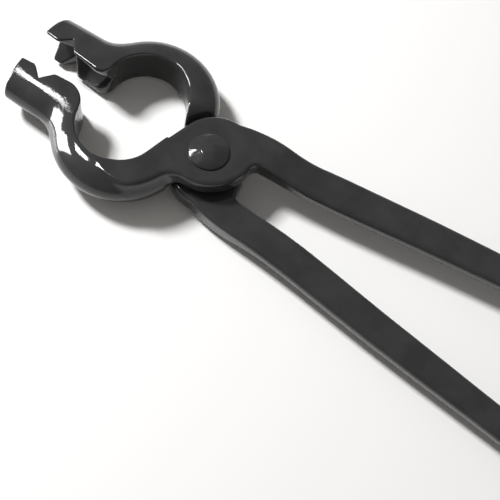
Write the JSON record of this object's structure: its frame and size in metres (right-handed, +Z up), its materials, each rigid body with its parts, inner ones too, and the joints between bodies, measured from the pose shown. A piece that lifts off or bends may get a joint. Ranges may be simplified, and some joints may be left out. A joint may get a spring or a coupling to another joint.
{
  "type": "blacksmith tongs",
  "caption": "Black forged bolt tongs: mirrored halves crossing at a rivet, round bows behind V-grooved, notched jaws, long tapering reins",
  "frame": {"origin": "On the rivet axis, at the flat end of the lower rivet head, which lies on the table", "axes": "X runs from the rivet to the jaws along the middle line between the halves, Y to the side of the upper half's jaw, Z up along the rivet axis to its domed head"},
  "size_m": [0.3952, 0.1018, 0.0236],
  "materials": {
    "upper_half": "black semi-gloss lacquer over forged carbon steel",
    "lower_half": "black semi-gloss lacquer over forged carbon steel",
    "pivot_rivet": "hammered steel rivet, lacquered over with the tongs"
  },
  "bodies": {
    "lower_half": {"lower_half": "lower_half", "pivot_rivet": "pivot_rivet"},
    "upper_half": {"upper_half": "upper_half"}
  },
  "joints": [
    {"name": "jaw_hinge", "type": "hinge", "parent": "lower_half", "child": "upper_half", "pos_m": [0, 0, 0.011], "axis": [0, 0, 1], "range_deg": [-10, 35]}
  ]
}
